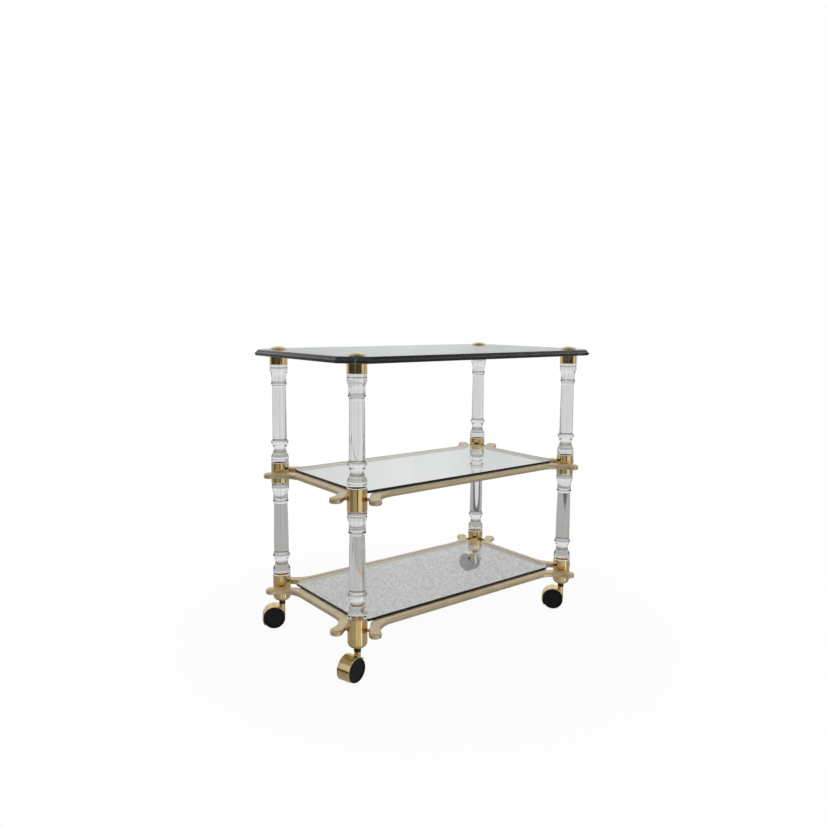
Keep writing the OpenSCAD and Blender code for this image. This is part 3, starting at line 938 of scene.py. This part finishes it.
def studio():
    """White to the eye; to glass and brass, a pale room with a grey carpet."""
    world = bpy.data.worlds.new("studio")
    bpy.context.scene.world = world
    world.use_nodes = True
    tree = world.node_tree
    tree.nodes.clear()
    coordinates = tree.nodes.new("ShaderNodeTexCoord")
    turned = tree.nodes.new("ShaderNodeMapping")
    turned.inputs["Rotation"].default_value = (0, 0, YAW)
    tree.links.new(coordinates.outputs["Generated"], turned.inputs["Vector"])
    parts = tree.nodes.new("ShaderNodeSeparateXYZ")
    tree.links.new(turned.outputs["Vector"], parts.inputs["Vector"])

    def math_node(operation, a, b=None):
        node = tree.nodes.new("ShaderNodeMath")
        node.operation = operation
        for entry, value in zip(node.inputs, (a, b)):
            if value is None:
                continue
            if isinstance(value, (int, float)):
                entry.default_value = value
            else:
                tree.links.new(value, entry)
        return node.outputs["Value"]

    def step(value, start, end):
        """0 on the start's side, 1 on the end's side, smooth between them."""
        node = tree.nodes.new("ShaderNodeMapRange")
        node.interpolation_type = "SMOOTHSTEP"
        node.inputs["From Min"].default_value = start
        node.inputs["From Max"].default_value = end
        tree.links.new(value, node.inputs["Value"])
        return node.outputs["Result"]

    def blend(mask, a, b):
        node = tree.nodes.new("ShaderNodeMix")
        node.data_type = "RGBA"
        tree.links.new(mask, node.inputs["Factor"])
        for entry, value in ((node.inputs[6], a), (node.inputs[7], b)):
            if isinstance(value, tuple):
                entry.default_value = (*value, 1)
            else:
                tree.links.new(value, entry)
        return node.outputs[2]

    def grey(value):
        return (value, value, value)

    degrees = 360 / TURN
    bearing = math_node("MULTIPLY",
                        math_node("ARCTAN2", parts.outputs["X"],
                                  math_node("MULTIPLY", parts.outputs["Y"], -1.0)), degrees)
    height = math_node("MULTIPLY", math_node("ARCSINE", parts.outputs["Z"]), degrees)

    def by_height(degree_stops):
        level = math_node("ADD", math_node("DIVIDE", height, 180.0), 0.5)
        return ramp(tree, level, [(degree / 180 + 0.5, grey(v)) for degree, v in degree_stops])

    def by_bearing(degree_stops):
        around = math_node("ADD", math_node("DIVIDE", bearing, 360.0), 0.5)
        return ramp(tree, around, [(degree / 360 + 0.5, grey(v)) for degree, v in degree_stops])

    # Walls with soft upright folds under a dim ceiling
    wall = by_height([(-20, 0.70), (3, 0.74), (14, 0.86), (30, 0.90), (48, 0.42), (90, 0.26)])
    folds = tree.nodes.new("ShaderNodeTexNoise")
    folds.noise_dimensions = "1D"
    folds.inputs["Scale"].default_value = 0.06
    folds.inputs["Detail"].default_value = 2
    tree.links.new(bearing, folds.inputs["W"])
    fold_shade = ramp(tree, folds.outputs["Fac"], [(0.35, grey(0.84)), (0.65, grey(1.08))])
    shaded = tree.nodes.new("ShaderNodeMix")
    shaded.data_type = "RGBA"
    shaded.blend_type = "MULTIPLY"
    shaded.clamp_result = False
    shaded.inputs["Factor"].default_value = 1
    tree.links.new(wall, shaded.inputs[6])
    tree.links.new(fold_shade, shaded.inputs[7])

    # Speckled carpet
    speckle = tree.nodes.new("ShaderNodeTexNoise")
    speckle.inputs["Scale"].default_value = 330
    speckle.inputs["Detail"].default_value = 3
    tree.links.new(coordinates.outputs["Generated"], speckle.inputs["Vector"])
    carpet = ramp(tree, speckle.outputs["Fac"],
                  [(0.38, (0.32, 0.32, 0.315)), (0.62, (0.50, 0.50, 0.49))])

    # Height above the line where wall and carpet meet, and a thin skirting shadow along it
    wall_foot_slope, skirting_level = 0.268, 0.12
    foot = math_node("ADD", parts.outputs["Z"],
                     math_node("MULTIPLY", math_node("ABSOLUTE", parts.outputs["Y"]),
                               wall_foot_slope))
    room = blend(step(foot, -0.004, 0.004), carpet, shaded.outputs[2])
    skirting = math_node("MULTIPLY", step(foot, -0.012, -0.006), step(foot, 0.012, 0.006))
    room = blend(skirting, room, grey(skirting_level))

    # The viewer's side: a plain wall above eye level, and the three bands of stripes below it
    facing = step(math_node("ABSOLUTE", bearing), *SIDE_SPAN)
    above = by_height([(0, 0.62), (28, 0.78), (44, 0.30), (60, 0.22)])
    room = blend(math_node("MULTIPLY", facing, step(height, *WALL_SPAN)), room, above)
    low = by_bearing(STRIPES_LOW)
    middle = by_bearing(STRIPES_MIDDLE)
    level = by_bearing(STRIPES_LEVEL)
    stripes = blend(step(height, *MIDDLE_SPAN), low, middle)
    stripes = blend(step(height, *LEVEL_SPAN), stripes, level)
    below_eye = math_node("MULTIPLY", facing, step(height, *EYE_LEVEL_SPAN))
    striped = math_node("MULTIPLY", below_eye, step(height, *CARPET_SPAN))
    colour = blend(striped, room, stripes)

    seen = tree.nodes.new("ShaderNodeBackground")
    seen.inputs["Color"].default_value = (1, 1, 1, 1)
    room_light = tree.nodes.new("ShaderNodeBackground")
    tree.links.new(colour, room_light.inputs["Color"])
    mix = tree.nodes.new("ShaderNodeMixShader")
    tree.links.new(light_path(tree, "Is Camera Ray"), mix.inputs["Fac"])
    tree.links.new(room_light.outputs["Background"], mix.inputs[1])
    tree.links.new(seen.outputs["Background"], mix.inputs[2])
    output = tree.nodes.new("ShaderNodeOutputWorld")
    tree.links.new(mix.outputs["Shader"], output.inputs["Surface"])


def overhead_light():
    """One large soft light above the cart, in front of it and to its left."""
    lamp = bpy.data.lights.new("overhead", "AREA")
    lamp.shape = "RECTANGLE"
    lamp.size = 2.4
    lamp.size_y = 1.6
    lamp.energy = 6
    o = bpy.data.objects.new("overhead", lamp)
    o.location = (-0.3, -0.4, 2.6)
    o.rotation_euler = (math.radians(-8), math.radians(-6), 0)
    bpy.context.scene.collection.objects.link(o)


def camera():
    lens = bpy.data.cameras.new("view")
    lens.lens = LENS_MM
    lens.sensor_width = SENSOR_MM
    ahead = Vector((math.sin(YAW) * math.cos(PITCH), math.cos(YAW) * math.cos(PITCH),
                    -math.sin(PITCH)))
    level_right = Vector((math.cos(YAW), -math.sin(YAW), 0))
    level_up = level_right.cross(ahead)
    right = math.cos(ROLL) * level_right + math.sin(ROLL) * level_up
    up = right.cross(ahead)
    o = bpy.data.objects.new("view", lens)
    turned = Matrix((right, up, -ahead)).transposed().to_4x4()
    o.matrix_world = Matrix.Translation(EYE) @ turned
    bpy.context.scene.collection.objects.link(o)
    bpy.context.scene.camera = o


floor()
studio()
overhead_light()
camera()
bpy.context.scene.view_settings.view_transform = "Standard"
